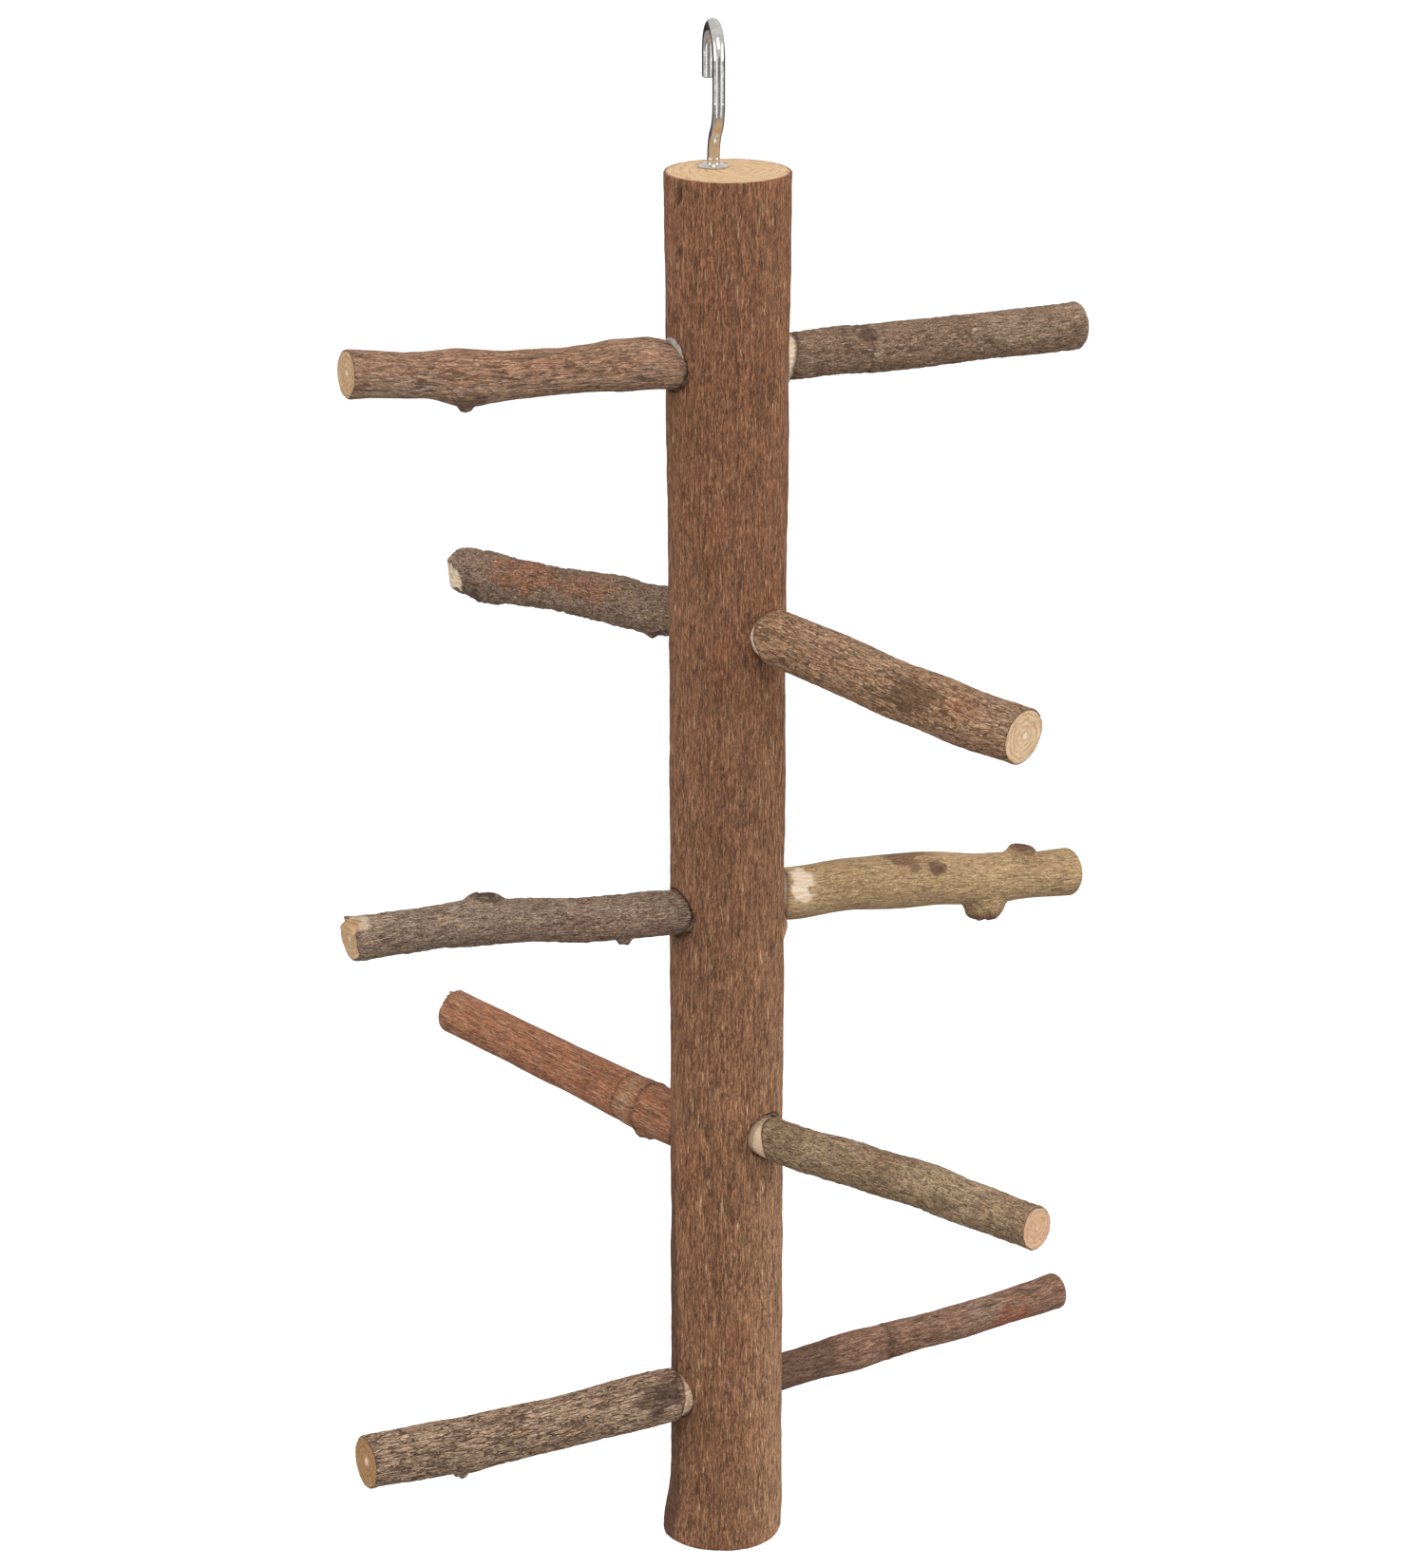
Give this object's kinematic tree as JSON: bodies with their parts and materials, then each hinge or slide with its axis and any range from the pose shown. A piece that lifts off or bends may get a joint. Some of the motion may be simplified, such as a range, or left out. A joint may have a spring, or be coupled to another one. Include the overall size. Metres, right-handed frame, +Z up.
{
  "type": "hanging perch tower",
  "caption": "Hanging natural-wood climbing tower for cage birds and small pets: a bark-on pole with tiers of glued-in perches and a screw hook on top.",
  "frame": {"origin": "underside of the hook's crown, the point that the tower hangs from", "axes": "+Z up along the pole; the front looks along -Y; +X to the right"},
  "size_m": [0.2063, 0.1585, 0.4394],
  "materials": {
    "pole_bark": "raw bark with fine lengthwise fissures, sawn ends",
    "red_brown_bark": "raw reddish-brown bark, sawn or worn tip",
    "grey_brown_bark": "raw grey-brown bark, lightly flecked",
    "olive_bark": "raw olive-brown mottled bark, sawn tip",
    "tan_bark": "pale tan smooth bark, worn tip",
    "fissured_bark": "raw grey-brown bark with a strong network of ridges",
    "clear_glue": "dried translucent glue",
    "bright_nickel": "bright nickel plate"
  },
  "bodies": {
    "tower": {"pole": "pole_bark", "perch_1_left": "red_brown_bark", "perch_1_right": "grey_brown_bark", "perch_2_left": "grey_brown_bark", "perch_2_right": "olive_bark", "perch_3_left": "grey_brown_bark", "perch_3_right": "tan_bark", "perch_4_left": "red_brown_bark", "perch_4_right": "olive_bark", "perch_5_left": "fissured_bark", "perch_5_right": "red_brown_bark", "glue_1_left": "clear_glue", "glue_1_right": "clear_glue", "glue_2_left": "clear_glue", "glue_2_right": "clear_glue", "glue_3_left": "clear_glue", "glue_3_right": "clear_glue", "glue_4_left": "clear_glue", "glue_4_right": "clear_glue", "glue_5_left": "clear_glue", "glue_5_right": "clear_glue"},
    "collar": {"hook_collar": "bright_nickel"},
    "hook": {"screw_hook": "bright_nickel"}
  },
  "joints": [
    {"name": "collar_lift", "type": "slide", "parent": "tower", "child": "collar", "axis": [0, 0, 1], "range_m": [0, 0.0161]},
    {"name": "hook_turn", "type": "hinge", "parent": "collar", "child": "hook", "pos_m": [0, 0, -0.036], "axis": [0, 0, 1], "range_deg": [0, 3600]}
  ],
  "couplings": [
    {"joint": "collar_lift", "follows": "hook_turn", "m_per_rad": 0.00025465}
  ]
}
